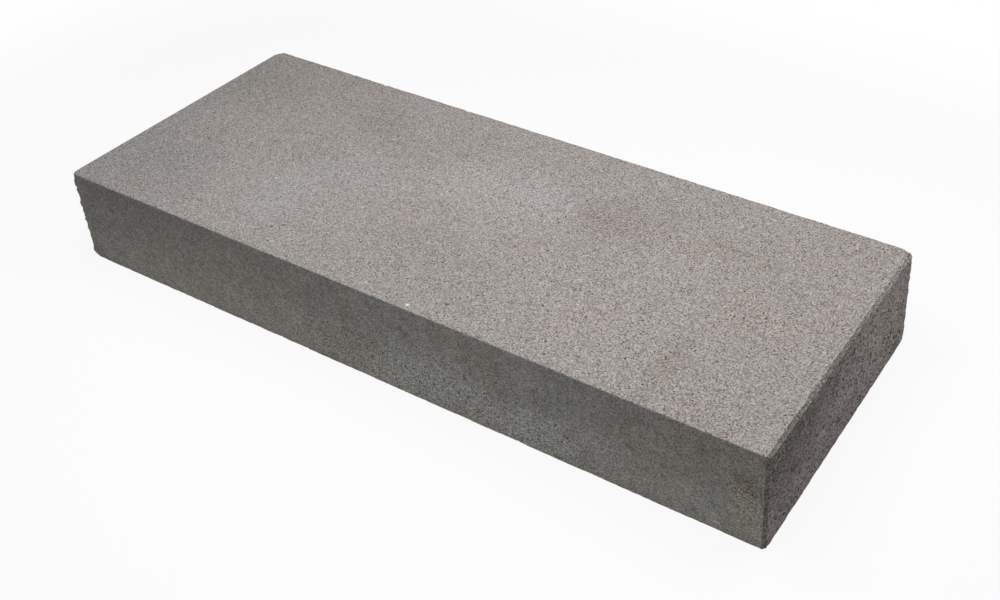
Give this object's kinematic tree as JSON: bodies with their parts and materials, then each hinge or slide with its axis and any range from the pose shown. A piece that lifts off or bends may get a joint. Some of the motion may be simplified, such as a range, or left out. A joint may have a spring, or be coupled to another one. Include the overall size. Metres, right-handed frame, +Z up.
{
  "type": "concrete block step",
  "caption": "Rectangular cast concrete step block with a flat tread, a plain front riser and narrow chamfers round its end faces.",
  "frame": {"origin": "middle of the underside", "axes": "+X along the step's length, +Y from the front riser to the back, +Z up"},
  "size_m": [1, 0.38, 0.13],
  "materials": {
    "concrete": "matt cast concrete, warm grey, fine sandy grain with small pores"
  },
  "bodies": {
    "root": {"block_step": "concrete"}
  },
  "joints": []
}
